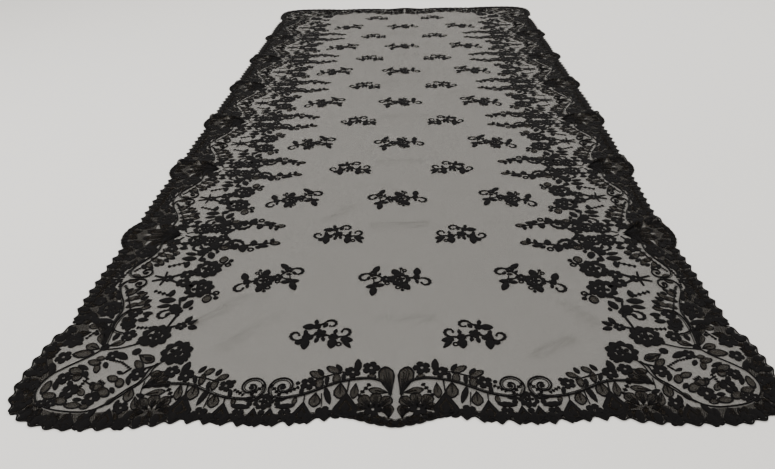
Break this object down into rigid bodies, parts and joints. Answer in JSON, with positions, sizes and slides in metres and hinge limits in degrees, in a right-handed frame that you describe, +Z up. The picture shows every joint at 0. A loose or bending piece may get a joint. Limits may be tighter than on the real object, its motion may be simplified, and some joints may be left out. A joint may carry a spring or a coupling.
{
  "type": "lace mantilla",
  "caption": "Rectangular black lace mantilla laid flat, with a fine net ground, scattered flower sprigs and a deep scalloped floral border.",
  "frame": {"origin": "on the surface it lies on, under the middle of the cloth", "axes": "+X across the cloth, +Y along its length away from the camera, +Z up"},
  "size_m": [1.101, 2.3559, 0.01],
  "materials": {
    "net": "fine black net, seen over a warm surface",
    "border_lace": "dense black lace, matt with a slight sheen",
    "motif_lace": "black cloth-stitch motifs with a raised outline thread"
  },
  "bodies": {
    "root": {"border_far": "border_lace", "border_left": "border_lace", "border_near": "border_lace", "border_right": "border_lace", "net_ground": "net", "spray_02_left": "motif_lace", "spray_02_right": "motif_lace", "spray_04_left": "motif_lace", "spray_04_right": "motif_lace", "spray_06_left": "motif_lace", "spray_06_right": "motif_lace", "spray_08_left": "motif_lace", "spray_08_right": "motif_lace", "spray_10_left": "motif_lace", "spray_10_right": "motif_lace", "spray_12_left": "motif_lace", "spray_12_right": "motif_lace", "spray_14_left": "motif_lace", "spray_14_right": "motif_lace", "spray_far_left": "motif_lace", "spray_far_right": "motif_lace", "spray_near_left": "motif_lace", "spray_near_right": "motif_lace", "sprig_01_left": "motif_lace", "sprig_01_right": "motif_lace", "sprig_02_left": "motif_lace", "sprig_02_middle": "motif_lace", "sprig_02_right": "motif_lace", "sprig_03_left": "motif_lace", "sprig_03_right": "motif_lace", "sprig_04_left": "motif_lace", "sprig_04_middle": "motif_lace", "sprig_04_right": "motif_lace", "sprig_05_left": "motif_lace", "sprig_05_right": "motif_lace", "sprig_06_left": "motif_lace", "sprig_06_middle": "motif_lace", "sprig_06_right": "motif_lace", "sprig_07_left": "motif_lace", "sprig_07_right": "motif_lace", "sprig_08_left": "motif_lace", "sprig_08_middle": "motif_lace", "sprig_08_right": "motif_lace", "sprig_09_left": "motif_lace", "sprig_09_right": "motif_lace", "sprig_10_left": "motif_lace", "sprig_10_middle": "motif_lace", "sprig_10_right": "motif_lace", "sprig_11_left": "motif_lace", "sprig_11_right": "motif_lace", "sprig_12_left": "motif_lace", "sprig_12_middle": "motif_lace", "sprig_12_right": "motif_lace", "sprig_13_left": "motif_lace", "sprig_13_right": "motif_lace", "sprig_14_left": "motif_lace", "sprig_14_middle": "motif_lace", "sprig_14_right": "motif_lace", "sprig_15_left": "motif_lace", "sprig_15_right": "motif_lace"}
  },
  "joints": []
}
